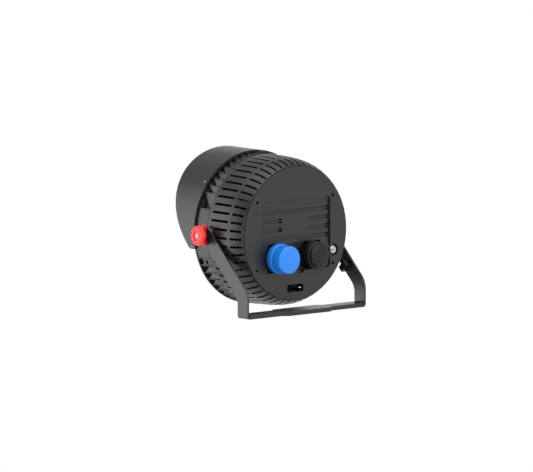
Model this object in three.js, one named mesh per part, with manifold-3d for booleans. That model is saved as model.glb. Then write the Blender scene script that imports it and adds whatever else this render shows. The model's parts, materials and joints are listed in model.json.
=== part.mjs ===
// A par can stage light: a squat drum-shaped LED wash light that tilts in a U-shaped yoke.
// Millimetres, +Z up. The beam points along +Y, and the origin is the middle of the underside
// of the yoke's base pad, where the clamp bolt goes through.

import * as THREE from 'three';
import { mergeVertices } from 'three/addons/utils/BufferGeometryUtils.js';
import Module from 'manifold-3d';

const wasm = await Module();
wasm.setup();

// ---------------------------------------------------------------- driving dimensions

const axisHeight = 106;      // drum axis and tilt pivots above the yoke's underside
const rearFaceY = 13.5;      // face of the rear cover, in front of the clamp bolt
const pivotForward = 62;     // tilt pivot in front of the rear face
const fit = 0.3;             // clearance where one piece sits in a cut of another

const slotCount = 56;        // ventilation slots in each ring of the shroud
const pitch = (2 * Math.PI) / slotCount;

const cover = { radius: 90, thick: 5.5, pocketDepth: 2.8, recessDepth: 8, back: 10.5 };
const pocket = { left: -62, right: 62, bottom: -51, top: 46, corner: 6 };
const recess = { halfWidth: 46.5, top: -12.6 };
const powerPort = { x: -30.6, z: -31.9, collar: 19 };
const dataPort = { x: 30.6, z: -31.6, collar: 18.8 };
const coverScrew = { x: 66.8, z: 45.8, holeRadius: 1.9 };
const ventBolt = { x: 67.3, z: -27.7, radius: 5.5, wellRadius: 8.4 };
const safetySlot = { halfWidth: 14.4, z: -74, halfHeight: 5.3 };

const shroud = { rear: 0.5, front: 63.5, wall: 2.5, rearRadius: 91.2, frontRadius: 100.8 };
const slotRows = [{ from: 1.3, to: 20.8 }, { from: 25.2, to: 57.9 }];
const slotHeight = 3.4;
const slotPhase = 0.2; // how far the slots are turned from the fins, in steps

const finFront = 83.5;       // front tips of the cooling fins
const finRadius = 101.5;
const finRoot = { inner: 91, outer: 93.5, front: 82.3 }; // the wall that the outer fins stand on
const bossHalfHeight = 32.6; // plain panels that carry the tilt pivots, above and below the axis
const boss = { radius: 10.2, inner: 84.6, face: 101.2, bore: 4.2 };

const frontRing = { back: 84, lipBack: 87.5, lipFront: 90.2, radius: 101.8, opening: 74 };
const shade = { back: 87, front: 148.2, radius: 104.3, sheet: 1.5, bottom: -21.8, corner: 5 };
const shadeRake = { drop: 0.00835, power: 1.8 }; // how its front edge sweeps back below the top
const shadeScrew = { y: 92, angles: [-10, 40, 90, 140, 190], headRadius: 2.1, head: 1.1 };

const lensRadius = 74;
const lensRings = [{ count: 1, radius: 0 }, { count: 6, radius: 29 }, { count: 12, radius: 57 }];

const fan = { half: 40, back: 38, front: 50, opening: 37.5, hub: 16 };

const yoke = { half: 105, sheet: 2.8, barHalf: 10.35, bend: 4.5 };
const basePad = { halfLong: 37.4, halfWide: 16.7, chamferEnd: 44 };
const bracketBase = { bottom: 0, top: 2.8 };
const basePlate = { bottom: 3, top: 5.9, end: 100.3 }; // doubles the bracket's base, between its bends
const clampBoltRadius = 6.5;

const stopPlace = { x: 97.8, y: rearFaceY + 11.2, z: axisHeight - 53.6 };

const knob = { gap: 0.3, length: 15.6, radius: 13.5, lobeRadius: 14.8, dimples: 12 };
const stud = { radius: 3.9, inner: 87, outer: 113.5 };

// ---------------------------------------------------------------- materials

const finish = (color, roughness, metalness) =>
  new THREE.MeshStandardMaterial({ color, roughness, metalness });
const blackPaint = finish(0x3b3b3d, 0.55, 0.1);
const darkPaint = finish(0x2c2c2e, 0.55, 0.1);
const bareAluminium = finish(0xb9bcc0, 0.4, 1);
const brightSteel = finish(0xdcdee0, 0.25, 1);
const redPlastic = finish(0xe02222, 0.4, 0);
const bluePlastic = finish(0x2478d0, 0.45, 0);
const blackPlastic = finish(0x1b1b1c, 0.5, 0);
const blackRubber = finish(0x111111, 0.9, 0);
const clearGlass = finish(0xe8f2f2, 0.05, 0);
const clearPlastic = finish(0xdfe6e8, 0.1, 0);
const circuitBoard = finish(0x1f5c3a, 0.6, 0);
const whiteNylon = finish(0xd8d8d2, 0.6, 0);

// ---------------------------------------------------------------- solid helpers

const degrees = (angle) => (angle * Math.PI) / 180;

// Shared corners merged and collapsed triangles dropped, so that the surface is closed.
function weld(geometry) {
  geometry.deleteAttribute('normal');
  geometry.deleteAttribute('uv');
  const merged = mergeVertices(geometry, 1e-4);
  const kept = [];
  const index = merged.index.array;
  for (let i = 0; i < index.length; i += 3) {
    const [a, b, c] = [index[i], index[i + 1], index[i + 2]];
    if (a !== b && b !== c && c !== a) kept.push(a, b, c);
  }
  merged.setIndex(kept);
  return merged;
}

function solid(geometry) {
  const merged = weld(geometry);
  return new wasm.Manifold(new wasm.Mesh({
    numProp: 3,
    vertProperties: new Float32Array(merged.attributes.position.array),
    triVerts: new Uint32Array(merged.index.array),
    tolerance: 0.002,
  }));
}

function surface(manifold) {
  const mesh = manifold.getMesh();
  const geometry = new THREE.BufferGeometry();
  geometry.setAttribute('position', new THREE.BufferAttribute(new Float32Array(mesh.vertProperties), 3));
  geometry.setIndex(new THREE.BufferAttribute(new Uint32Array(mesh.triVerts), 1));
  geometry.computeVertexNormals();
  return geometry;
}

const join = (first, ...others) => others.reduce((sum, other) => sum.add(other), first);
const cut = (first, ...others) => others.reduce((rest, other) => rest.subtract(other), first);

function block(x0, x1, y0, y1, z0, z1) {
  const geometry = new THREE.BoxGeometry(x1 - x0, y1 - y0, z1 - z0);
  geometry.translate((x0 + x1) / 2, (y0 + y1) / 2, (z0 + z1) / 2);
  return solid(geometry);
}

// Round bars along each axis, from one end to the other, through a point of the other two axes.
function rodY(radius, y0, y1, x = 0, z = 0, sides = 24, radiusEnd = radius) {
  const geometry = new THREE.CylinderGeometry(radiusEnd, radius, y1 - y0, sides);
  geometry.translate(x, (y0 + y1) / 2, z);
  return solid(geometry);
}

function rodX(radius, x0, x1, y = 0, z = 0, sides = 24) {
  const geometry = new THREE.CylinderGeometry(radius, radius, x1 - x0, sides);
  geometry.rotateZ(-Math.PI / 2);
  geometry.translate((x0 + x1) / 2, y, z);
  return solid(geometry);
}

function rodZ(radius, z0, z1, x = 0, y = 0, sides = 24) {
  const geometry = new THREE.CylinderGeometry(radius, radius, z1 - z0, sides);
  geometry.rotateX(Math.PI / 2);
  geometry.translate(x, y, (z0 + z1) / 2);
  return solid(geometry);
}

// A turned piece about the Y axis, from [radius, y] corners given anticlockwise.
function turned(corners, sides, closed = true) {
  const profile = corners.map(([radius, y]) => new THREE.Vector2(radius, y));
  if (closed) profile.push(profile[0].clone());
  return solid(new THREE.LatheGeometry(profile, sides));
}

// An outline through [a, b, radius] corners, each rounded to its own radius.
function outline(corners) {
  const shape = new THREE.Shape();
  corners.forEach(([a, b, radius = 0], i) => {
    const corner = new THREE.Vector2(a, b);
    const before = new THREE.Vector2(...corners.at(i - 1)).sub(corner).normalize();
    const after = new THREE.Vector2(...corners[(i + 1) % corners.length]).sub(corner).normalize();
    if (radius === 0) {
      if (i === 0) shape.moveTo(a, b);
      else shape.lineTo(a, b);
      return;
    }
    const half = Math.acos(THREE.MathUtils.clamp(before.dot(after), -1, 1)) / 2;
    const start = corner.clone().addScaledVector(before, radius / Math.tan(half));
    const end = corner.clone().addScaledVector(after, radius / Math.tan(half));
    const centre = before.clone().add(after).normalize().multiplyScalar(radius / Math.sin(half)).add(corner);
    const clockwise = before.cross(after) > 0;
    if (i === 0) shape.moveTo(start.x, start.y);
    const from = start.clone().sub(centre).angle();
    const to = end.clone().sub(centre).angle();
    shape.absarc(centre.x, centre.y, radius, from, to, clockwise);
  });
  return shape;
}

const extrude = (shape, depth, curveSegments) =>
  new THREE.ExtrudeGeometry(shape, { depth, bevelEnabled: false, curveSegments });

// Outlines drawn in the XZ plane and given thickness along Y.
function plateY(shape, y0, y1, curveSegments = 2) {
  const geometry = extrude(shape, y1 - y0, curveSegments);
  geometry.translate(0, 0, -y1);
  geometry.rotateX(Math.PI / 2);
  return solid(geometry);
}

// Outlines drawn in the YZ plane and given thickness along X.
function plateX(shape, x0, x1, curveSegments = 2) {
  const geometry = extrude(shape, x1 - x0, curveSegments);
  geometry.translate(0, 0, x0);
  const axes = new THREE.Matrix4().makeBasis(
    new THREE.Vector3(0, 1, 0), new THREE.Vector3(0, 0, 1), new THREE.Vector3(1, 0, 0));
  geometry.applyMatrix4(axes);
  return solid(geometry);
}

function plateZ(shape, z0, z1, curveSegments = 2) {
  const geometry = extrude(shape, z1 - z0, curveSegments);
  geometry.translate(0, 0, z0);
  return solid(geometry);
}

// Turns a solid about the drum's axis, from +X towards +Z.
const aboutDrum = (manifold, angle) => {
  const geometry = surface(manifold);
  geometry.rotateY(-angle);
  return solid(geometry);
};

function ringSector(inner, outer, from, to) {
  const shape = new THREE.Shape();
  shape.absarc(0, 0, outer, from, to, false);
  shape.absarc(0, 0, inner, to, from, true);
  return shape;
}

const rectangle = (x0, x1, z0, z1, corner) =>
  outline([[x0, z0, corner], [x1, z0, corner], [x1, z1, corner], [x0, z1, corner]]);

const lightHead = new THREE.Group();
lightHead.position.set(0, rearFaceY, axisHeight);
const bracket = new THREE.Group();

function addPiece(group, name, manifold, material) {
  const mesh = new THREE.Mesh(surface(manifold), material);
  mesh.name = name;
  group.add(mesh);
}

const sides = [['left', -1], ['right', 1]];

// ---------------------------------------------------------------- rear cover and connectors

// Thin paired grooves across the pocket; the two middle pairs stop short of the centre.
function coverGrooves() {
  const pairs = [[30, false], [17.85, true], [5.8, true], [-6.2, false]];
  const grooves = [];
  for (const [middle, split] of pairs) {
    for (const z of [middle - 1.7, middle + 1.7]) {
      const spans = split ? [[-58, -22], [22, 60]] : [[-58, 60]];
      for (const [x0, x1] of spans) {
        grooves.push(block(x0, x1, cover.pocketDepth - 1, cover.pocketDepth + 1, z - 0.75, z + 0.75));
      }
    }
  }
  return grooves;
}

function rearCover() {
  const disc = rodY(cover.radius, 0, cover.thick, 0, 0, 56);
  const well = block(-57, 57, 0, cover.back, pocket.bottom - 2.4, recess.top + 2.4);
  const { left, right, bottom, top, corner } = pocket;
  const shallow = plateY(rectangle(left, right, bottom, top, corner), -1, cover.pocketDepth);
  const recessShape = rectangle(-recess.halfWidth, recess.halfWidth, bottom, recess.top, 4);
  const deep = plateY(recessShape, 0, cover.recessDepth);
  let body = cut(join(disc, well), shallow, deep, ...coverGrooves());
  for (const port of [powerPort, dataPort]) {
    body = body.subtract(rodY(port.collar + 0.5, 1, cover.recessDepth, port.x, port.z, 24));
    body = body.subtract(rodY(14, 1, 20, port.x, port.z, 20));
  }
  for (const x of [-coverScrew.x, coverScrew.x]) {
    for (const z of [-coverScrew.z, coverScrew.z]) {
      body = body.subtract(rodY(coverScrew.holeRadius, -1, 9, x, z, 12));
    }
  }
  const { halfWidth, z, halfHeight } = safetySlot;
  const slot = plateY(rectangle(-halfWidth, halfWidth, z - halfHeight, z + halfHeight, 2.5), -1, 9);
  const notch = block(5.3, 15.1, -1, cover.pocketDepth, pocket.bottom - 3.6, pocket.bottom + 1);
  const boltWell = rodY(ventBolt.wellRadius, -1, 3, ventBolt.x, ventBolt.z, 20);
  const boltHole = rodY(2.6, -1, 9, ventBolt.x, ventBolt.z, 12);
  return cut(body, slot, notch, boltWell, boltHole);
}

const rearGasket = () => turned([[86.8, 5.6], [89.6, 5.6], [89.6, 7.2], [86.8, 7.2]], 32);

function coverScrewSolid(x, z) {
  const head = rodY(1.6, 2.2, 4, x, z, 10);
  return join(head, rodY(1.2, 3.5, 16, x, z, 8));
}

// A chassis socket: a barrel through the cover, open to the rear, with contact pins inside.
function socket(port, pins, rim, collar) {
  const barrel = rodY(13.7, rim, 24, port.x, port.z, 20);
  const flange = rodY(17, cover.back + 0.2, 13, port.x, port.z, 20);
  const mouth = rodY(11.5, rim - 1, 20, port.x, port.z, 20);
  const contacts = [];
  for (let i = 0; i < pins; i += 1) {
    const angle = (2 * Math.PI * i) / pins + Math.PI / 2;
    contacts.push(rodY(1.3, rim + 4, 21, port.x + 6 * Math.cos(angle), port.z + 6 * Math.sin(angle), 6));
  }
  return join(cut(join(barrel, flange, ...collar), mouth), ...contacts);
}

const powerSocket = () =>
  socket(powerPort, 3, -12, [rodY(powerPort.collar, 0, cover.recessDepth - 0.1, powerPort.x, powerPort.z, 24)]);
const dataSocket = () => socket(dataPort, 5, -6, []);

// Sealing caps: a hollow cup over each socket barrel.
function powerCap() {
  const cup = turned([[14.2, -0.1], [14.2, -14], [0, -14], [0, -24.4], [17.9, -24.4], [18.7, -23.6],
    [18.7, -7.6], [20.4, -7.6], [20.4, -0.1]], 32);
  return cup.translate([powerPort.x, 0, powerPort.z]);
}

function dataCap() {
  const cup = turned([[14.2, 7.7], [14.2, -8], [0, -8], [0, -15.8], [15.4, -15.8], [16, -15.2],
    [16, -11.9], [17.6, -11.9], [18.8, -10.7], [18.8, 7.7]], 32);
  return cup.translate([dataPort.x, 0, dataPort.z]);
}

function ventBoltSolid() {
  const { x, z, radius } = ventBolt;
  return join(rodY(radius, -0.6, 2.8, x, z, 20), rodY(2.3, 2.5, 12, x, z, 12));
}

// ---------------------------------------------------------------- shroud

// A cutter for one slot of the shroud, at the +X side of the drum.
function shroudSlot(from, to) {
  const geometry = new THREE.BoxGeometry(20, to - from, slotHeight);
  geometry.translate(100.2, (from + to) / 2, 0);
  return geometry;
}

// A barrel-shaped casing with two rings of slots.
function ventedShroud() {
  const { rear, front, wall, rearRadius, frontRadius } = shroud;
  const outer = [[rearRadius, rear], [92.2, 1.4], [96.2, 10.7], [99.5, 25], [frontRadius, front]];
  const inner = [[frontRadius - wall, front], [99.5 - wall, 25], [90.6, 7], [90.6, rear]];
  let shell = turned([...outer, ...inner], slotCount);
  for (const { from, to } of slotRows) {
    for (let i = 0; i < slotCount; i += 1) {
      const angle = (i + slotPhase) * pitch;
      const besidePivot = Math.abs(Math.sin(angle)) < Math.sin(pitch) && to > 50;
      const slot = shroudSlot(from, besidePivot ? 50 : to);
      slot.rotateY(-angle);
      shell = shell.subtract(solid(slot));
    }
  }
  return cut(shell, rodX(boss.radius + 0.4, -110, 110, pivotForward, 0, 24));
}

// ---------------------------------------------------------------- heat sink

function coolingFin(angle) {
  const { inner } = finRoot;
  const back = shroud.front + fit;
  const geometry = new THREE.BoxGeometry(finRadius - inner, finFront - back, 2);
  geometry.translate((inner + finRadius) / 2, (back + finFront) / 2, 0);
  geometry.rotateY(-angle);
  return solid(geometry);
}

function rearFin(angle) {
  const geometry = new THREE.BoxGeometry(54, 7.4, 1.8);
  geometry.translate(51, 54.1, 0);
  geometry.rotateY(-angle);
  return solid(geometry);
}

// The cast body: a base disc with fins behind it, walls round the optics, outer fins and the
// pivot panels outside it, and four shouldered posts that carry the ring the cover seats on.
function heatSink() {
  const core = turned([[0, 57.5], [97.6, 57.5], [97.6, 63.6], [84, 63.6], [84, 82.3], [76, 82.3],
    [76, 61.5], [0, 61.5]], 40, false);
  const bossAngle = Math.asin(bossHalfHeight / 101);
  const missingFins = [4, 24];
  const seat = turned([[80, 7.4], [89.5, 7.4], [89.5, 9.4], [80, 9.4]], 32);
  const { inner, outer, front } = finRoot;
  const wall = turned([[inner, 61], [outer, 61], [outer, front], [inner, front]], slotCount);
  let body = core.add(seat).add(wall);
  for (let i = 0; i < slotCount; i += 1) {
    const angle = i * pitch;
    const onPanel = Math.abs(Math.sin(angle)) < Math.sin(bossAngle);
    if (!onPanel && !missingFins.includes(i)) body = body.add(coolingFin(angle));
  }
  for (let i = 0; i < 12; i += 1) body = body.add(rearFin((i + 0.5) * Math.PI / 6));
  for (const from of [-bossAngle, Math.PI - bossAngle]) {
    const panel = ringSector(83, 101, from, from + 2 * bossAngle);
    body = body.add(plateY(panel, shroud.front + fit, finFront, 4));
  }
  for (const x of [-coverScrew.x, coverScrew.x]) {
    for (const z of [-coverScrew.z, coverScrew.z]) {
      body = join(body, rodY(6.5, 27.6, 58, x, z, 10), rodY(4.5, 5.8, 28, x, z, 10));
      body = body.subtract(rodY(1.5, 5, 20, x, z, 8));
    }
  }
  const bossHoles = sides.map(([, side]) => rodX(boss.radius + fit,
    Math.min(side * 84.3, side * 110), Math.max(side * 84.3, side * 110), pivotForward, 0, 24));
  return cut(body, ...bossHoles);
}

function pivotBoss(side) {
  const [near, far] = [side * boss.inner, side * boss.face].sort((a, b) => a - b);
  const [deep, open] = [side * 86.5, side * 103].sort((a, b) => a - b);
  const bore = rodX(boss.bore, deep, open, pivotForward, 0, 16);
  return cut(rodX(boss.radius, near, far, pivotForward, 0, 24), bore);
}

// ---------------------------------------------------------------- optics and electronics

function lensCentres() {
  return lensRings.flatMap(({ count, radius }) => Array.from({ length: count }, (_, i) => {
    const angle = (2 * Math.PI * i) / count;
    return [radius * Math.cos(angle), radius * Math.sin(angle)];
  }));
}

function ledBoard() {
  let board = rodY(lensRadius, 61.8, 63.4, 0, 0, 40);
  for (const [x, z] of lensCentres()) board = board.add(block(x - 2, x + 2, 63, 65, z - 2, z + 2));
  return board;
}

// One moulding: a front sheet with a cone behind each light source and a skirt at its edge.
function lensPlate() {
  let plate = turned([[71, 63.6], [lensRadius, 63.6], [lensRadius, 78.5], [0, 78.5], [0, 76], [71, 76]], 40);
  for (const [x, z] of lensCentres()) plate = plate.add(rodY(6, 66, 76.5, x, z, 6, 12.5));
  return plate;
}

const glassGasket = () => turned([[76, 82.4], [80, 82.4], [80, 84], [76, 84]], 32);
const frontGlass = () => rodY(80, 84.1, 87.2, 0, 0, 32);

// The bezel that holds the glass, with a raised arc that the shade is screwed to.
function bezel() {
  const { back, lipBack, lipFront, radius, opening } = frontRing;
  const ring = turned([[80.4, back], [97, back], [97, lipBack], [radius, lipBack],
    [radius, lipFront], [opening, lipFront], [opening, lipBack], [80.4, lipBack]], 56);
  const arc = plateY(ringSector(98, 102.4, degrees(-11.5), degrees(191.5)), lipFront - 1, 96, 14);
  const holes = shadeScrew.angles.map((angle) =>
    aboutDrum(rodX(1.6, 99, 106, shadeScrew.y, 0, 6), degrees(angle)));
  return cut(ring.add(arc), ...holes);
}

const shadeFrontAt = (z) => shade.front - shadeRake.drop * (shade.radius - z) ** shadeRake.power;

// Half of a top hat: open below, longest above, with its front edge swept back down both sides.
function glareShade() {
  const { back, front, radius, sheet, bottom, corner } = shade;
  const edge = [];
  for (let z = bottom + 8; z < radius; z += 8) edge.push([shadeFrontAt(z), z]);
  const tube = turned([[radius - sheet, back], [radius, back], [radius, front], [radius - sheet, front]], 64);
  const away = outline([[back - 5, bottom], [shadeFrontAt(bottom), bottom, corner], ...edge,
    [front, radius + 1], [front + 20, radius + 1], [front + 20, -radius - 5], [back - 5, -radius - 5]]);
  const holes = shadeScrew.angles.map((angle) =>
    aboutDrum(rodX(1.7, 100, 106, shadeScrew.y, 0, 6), degrees(angle)));
  return cut(tube, plateX(away, -radius - 5, radius + 5, 3), ...holes);
}

function shadeScrewSolid(angle) {
  const { headRadius, head, y } = shadeScrew;
  const base = shade.radius + 0.1;
  const screw = join(rodX(headRadius, base, base + head, y, 0, 10), rodX(1.2, 99.4, base + 0.5, y, 0, 6));
  return aboutDrum(screw, degrees(angle));
}

const trayFoot = -62; // the tray ends above the safety slot

function driverTray() {
  let tray = rodY(84, 26, 27.4, 0, 0, 40);
  for (const x of [-coverScrew.x, coverScrew.x]) {
    for (const z of [-coverScrew.z, coverScrew.z]) tray = tray.subtract(rodY(4.8, 25, 29, x, z, 10));
  }
  return tray.subtract(block(-90, 90, 25, 29, -90, trayFoot));
}

const boardCorners = [[-44, -24], [-44, 34], [44, -24], [44, 34]];
const fanCorners = [[-35.5, -35.5], [-35.5, 35.5], [35.5, -35.5], [35.5, 35.5]];

function driverBoard() {
  const board = block(-50, 50, 30.6, 32.2, -30, 40);
  const transformer = block(-38, -10, 32, 37.2, 0, 30);
  const capacitors = [4, 16, 28].map((x) => rodY(5, 32, 37.2, x, 28, 12));
  const chokes = [[4, 26, -22, -6], [-36, -16, -24, -10]].map(([x0, x1, z0, z1]) =>
    block(x0, x1, 32, 36, z0, z1));
  return join(board, transformer, ...capacitors, ...chokes);
}

function fanFrame() {
  const { half, back, front, opening, hub } = fan;
  const frame = plateY(rectangle(-half, half, -half, half, 4), back, front);
  const struts = [block(-38.5, 38.5, back, back + 1.5, -2, 2), block(-2, 2, back, back + 1.5, -38.5, 38.5)];
  const screwHoles = fanCorners.map(([x, z]) => rodY(2.2, back - 1, front + 1, x, z, 8));
  return cut(join(cut(frame, rodY(opening, back - 1, front + 1, 0, 0, 32)),
    rodY(hub, back, back + 1.5, 0, 0, 20), ...struts), ...screwHoles);
}


function fanRotor() {
  let rotor = rodY(15, fan.back + 2, fan.front - 0.5, 0, 0, 20);
  for (let i = 0; i < 7; i += 1) {
    const geometry = new THREE.BoxGeometry(23, 12, 1.6);
    geometry.rotateX(degrees(55));
    geometry.translate(24.5, (fan.back + fan.front) / 2 + 0.6, 0);
    geometry.rotateY(-(2 * Math.PI * i) / 7);
    rotor = rotor.add(solid(geometry));
  }
  return rotor;
}

const fanScrew = ([x, z]) =>
  join(rodY(3, fan.back - 1.4, fan.back - 0.1, x, z, 10), rodY(1.8, fan.back - 1, 50.1, x, z, 8));

// ---------------------------------------------------------------- yoke

// Base outline with a wider pad in the middle, seen from above.
function baseOutline(halfLength) {
  const { halfLong, halfWide, chamferEnd } = basePad;
  const bar = yoke.barHalf;
  return outline([[-halfLength, -bar], [-chamferEnd, -bar], [-halfLong, -halfWide], [halfLong, -halfWide],
    [chamferEnd, -bar], [halfLength, -bar], [halfLength, bar], [chamferEnd, bar], [halfLong, halfWide],
    [-halfLong, halfWide], [-chamferEnd, bar], [-halfLength, bar]]);
}

// One arm: upright from the base, then a 45-degree dogleg forward to the pivot.
function armOutline() {
  const bar = yoke.barHalf;
  const pivotY = rearFaceY + pivotForward;
  const bendZ = axisHeight - pivotY;
  const across = bar * Math.SQRT1_2;
  const step = bar * Math.tan(degrees(22.5));
  const tip = bar * Math.SQRT2;
  const square = [pivotY + tip * Math.SQRT1_2 * Math.SQRT1_2, axisHeight + tip * Math.SQRT1_2 * Math.SQRT1_2];
  return outline([[-bar, 12], [bar, 12], [bar, bendZ - step, 17],
    [square[0] + across, square[1] - across, bar - 0.01], [square[0] - across, square[1] + across, bar - 0.01],
    [-bar, bendZ + step, 24]]);
}

function yokeBracket() {
  const { half, sheet, barHalf, bend } = yoke;
  const { bottom, top } = bracketBase;
  const u = outline([[-half, bottom, bend], [half, bottom, bend], [half, 14], [half - sheet, 14],
    [half - sheet, top, bend - sheet], [-half + sheet, top, bend - sheet], [-half + sheet, 14], [-half, 14]]);
  const arm = armOutline();
  const pivotY = rearFaceY + pivotForward;
  const whole = join(plateY(u, -barHalf, barHalf, 3), plateZ(baseOutline(60), bottom, top),
    plateX(arm, half - sheet, half, 3), plateX(arm, -half, -half + sheet, 3));
  return cut(whole, rodZ(clampBoltRadius, -1, 8), rodX(4.5, -110, 110, pivotY, axisHeight, 16),
    rodX(2.3, 98, 110, stopPlace.y, stopPlace.z, 10));
}

const yokeBasePlate = () =>
  cut(plateZ(baseOutline(basePlate.end), basePlate.bottom, basePlate.top), rodZ(clampBoltRadius, -1, 8));

function stopBlock() {
  const geometry = new THREE.BoxGeometry(8.4, 8.6, 13.4);
  geometry.rotateX(degrees(45));
  geometry.translate(stopPlace.x, stopPlace.y, stopPlace.z);
  return cut(solid(geometry), rodX(2.3, 96, 104, stopPlace.y, stopPlace.z, 10));
}

function stopScrew() {
  const { y, z } = stopPlace;
  return join(rodX(4, yoke.half + 0.1, yoke.half + 2.2, y, z, 12), rodX(2, 96.6, yoke.half + 0.5, y, z, 10));
}

function tiltWasher(side) {
  const [near, far] = [side * 101.3, side * 102.1].sort((a, b) => a - b);
  const pivotY = rearFaceY + pivotForward;
  return cut(rodX(10, near, far, pivotY, axisHeight, 20), rodX(4.3, -110, 110, pivotY, axisHeight, 12));
}

// ---------------------------------------------------------------- tilt knobs

// A round handle with dimples round its face, on a lobed grip next to the arm.
function tiltKnob(side) {
  const pivotY = rearFaceY + pivotForward;
  const back = yoke.half + knob.gap;
  const tip = yoke.half + knob.length;
  // a round bar between two distances from the middle, on this side, off the knob's axis by (a, b)
  const bar = (from, to, radius, a = 0, b = 0, count = 16) => {
    const [near, far] = [side * from, side * to].sort((p, q) => p - q);
    return rodX(radius, near, far, pivotY + a, axisHeight + b, count);
  };
  let body = join(bar(back, back + 4.5, 10.5), bar(back, tip - 7, 9),
    bar(tip - 8.4, tip - 1.2, knob.radius, 0, 0, 24), bar(tip - 2, tip, knob.radius - 1.2, 0, 0, 24));
  for (const angle of [90, 40, 140, 270].map(degrees)) {
    const reach = knob.lobeRadius - 3.4;
    body = body.add(bar(back, back + 4.5, 3.4, -reach * Math.cos(angle), reach * Math.sin(angle), 8));
  }
  for (let i = 0; i < knob.dimples; i += 1) {
    const angle = (2 * Math.PI * (i + 0.5)) / knob.dimples;
    body = body.subtract(bar(tip - 0.8, tip + 1, 1, 10.4 * Math.cos(angle), 10.4 * Math.sin(angle), 4));
  }
  const recessed = bar(tip - 1.4, tip + 1, 6.9);
  const bore = bar(back - 1, stud.outer + 0.5, stud.radius + fit, 0, 0, 16);
  return cut(body, recessed, bore);
}

function knobStud(side) {
  const [near, far] = [side * stud.inner, side * stud.outer].sort((a, b) => a - b);
  return rodX(stud.radius, near, far, rearFaceY + pivotForward, axisHeight, 16);
}

function knobScrew(side) {
  const floor = yoke.half + knob.length - 1.3;
  const [near, far] = [side * floor, side * (floor + 1.5)].sort((a, b) => a - b);
  return rodX(3.3, near, far, rearFaceY + pivotForward, axisHeight, 16);
}

// ---------------------------------------------------------------- assembly

addPiece(lightHead, 'rear_cover', rearCover(), blackPaint);
addPiece(lightHead, 'rear_gasket', rearGasket(), blackRubber);
addPiece(lightHead, 'shroud', ventedShroud(), blackPaint);
addPiece(lightHead, 'heat_sink', heatSink(), blackPaint);
addPiece(lightHead, 'front_ring', bezel(), blackPaint);
addPiece(lightHead, 'shade', glareShade(), blackPaint);
addPiece(lightHead, 'front_glass', frontGlass(), clearGlass);
addPiece(lightHead, 'glass_gasket', glassGasket(), blackRubber);
addPiece(lightHead, 'lens_plate', lensPlate(), clearPlastic);
addPiece(lightHead, 'led_board', ledBoard(), bareAluminium);
addPiece(lightHead, 'driver_tray', driverTray(), bareAluminium);
addPiece(lightHead, 'driver_board', driverBoard(), circuitBoard);
addPiece(lightHead, 'fan_frame', fanFrame(), blackPlastic);
addPiece(lightHead, 'fan_rotor', fanRotor(), blackPlastic);
addPiece(lightHead, 'power_socket', powerSocket(), blackPlastic);
addPiece(lightHead, 'data_socket', dataSocket(), blackPlastic);
addPiece(lightHead, 'power_cap', powerCap(), bluePlastic);
addPiece(lightHead, 'data_cap', dataCap(), blackPlastic);
addPiece(lightHead, 'vent_bolt', ventBoltSolid(), brightSteel);

let count = 0;
for (const x of [-coverScrew.x, coverScrew.x]) {
  for (const z of [-coverScrew.z, coverScrew.z]) {
    count += 1;
    addPiece(lightHead, `cover_screw_${count}`, coverScrewSolid(x, z), darkPaint);
  }
}
shadeScrew.angles.forEach((angle, i) =>
  addPiece(lightHead, `shade_screw_${i + 1}`, shadeScrewSolid(angle), brightSteel));
boardCorners.forEach(([x, z], i) =>
  addPiece(lightHead, `board_spacer_${i + 1}`, rodY(3, 27.5, 30.5, x, z, 8), whiteNylon));
fanCorners.forEach((corner, i) => addPiece(lightHead, `fan_screw_${i + 1}`, fanScrew(corner), brightSteel));

addPiece(bracket, 'yoke_bracket', yokeBracket(), blackPaint);
addPiece(bracket, 'yoke_base_plate', yokeBasePlate(), blackPaint);
addPiece(bracket, 'stop_block', stopBlock(), blackPlastic);
addPiece(bracket, 'stop_screw', stopScrew(), brightSteel);

for (const [name, side] of sides) {
  addPiece(lightHead, `pivot_boss_${name}`, pivotBoss(side), darkPaint);
  addPiece(bracket, `tilt_washer_${name}`, tiltWasher(side), whiteNylon);
  addPiece(bracket, `tilt_knob_${name}`, tiltKnob(side), redPlastic);
  addPiece(bracket, `knob_stud_${name}`, knobStud(side), brightSteel);
  addPiece(bracket, `knob_screw_${name}`, knobScrew(side), brightSteel);
}

const parLight = new THREE.Group();
parLight.add(bracket, lightHead);
export default parLight;
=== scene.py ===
import json
import math

import bmesh
import bpy
from mathutils import Matrix, Vector


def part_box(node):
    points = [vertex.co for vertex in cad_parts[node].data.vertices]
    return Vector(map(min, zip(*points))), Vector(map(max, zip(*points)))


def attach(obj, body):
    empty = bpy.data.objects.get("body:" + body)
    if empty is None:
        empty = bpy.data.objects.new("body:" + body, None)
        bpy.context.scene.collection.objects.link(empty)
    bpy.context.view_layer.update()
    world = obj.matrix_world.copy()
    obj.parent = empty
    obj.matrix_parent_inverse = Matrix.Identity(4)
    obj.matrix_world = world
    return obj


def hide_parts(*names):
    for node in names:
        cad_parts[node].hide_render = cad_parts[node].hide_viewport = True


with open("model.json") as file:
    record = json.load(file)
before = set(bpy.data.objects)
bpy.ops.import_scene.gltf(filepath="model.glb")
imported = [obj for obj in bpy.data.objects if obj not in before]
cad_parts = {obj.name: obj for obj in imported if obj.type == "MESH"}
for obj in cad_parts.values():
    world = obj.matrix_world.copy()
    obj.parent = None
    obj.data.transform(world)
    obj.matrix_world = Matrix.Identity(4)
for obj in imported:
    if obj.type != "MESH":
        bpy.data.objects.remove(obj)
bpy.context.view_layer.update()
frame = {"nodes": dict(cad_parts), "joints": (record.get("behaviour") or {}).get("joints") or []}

mm = 0.001
turn = 2 * math.pi

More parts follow.
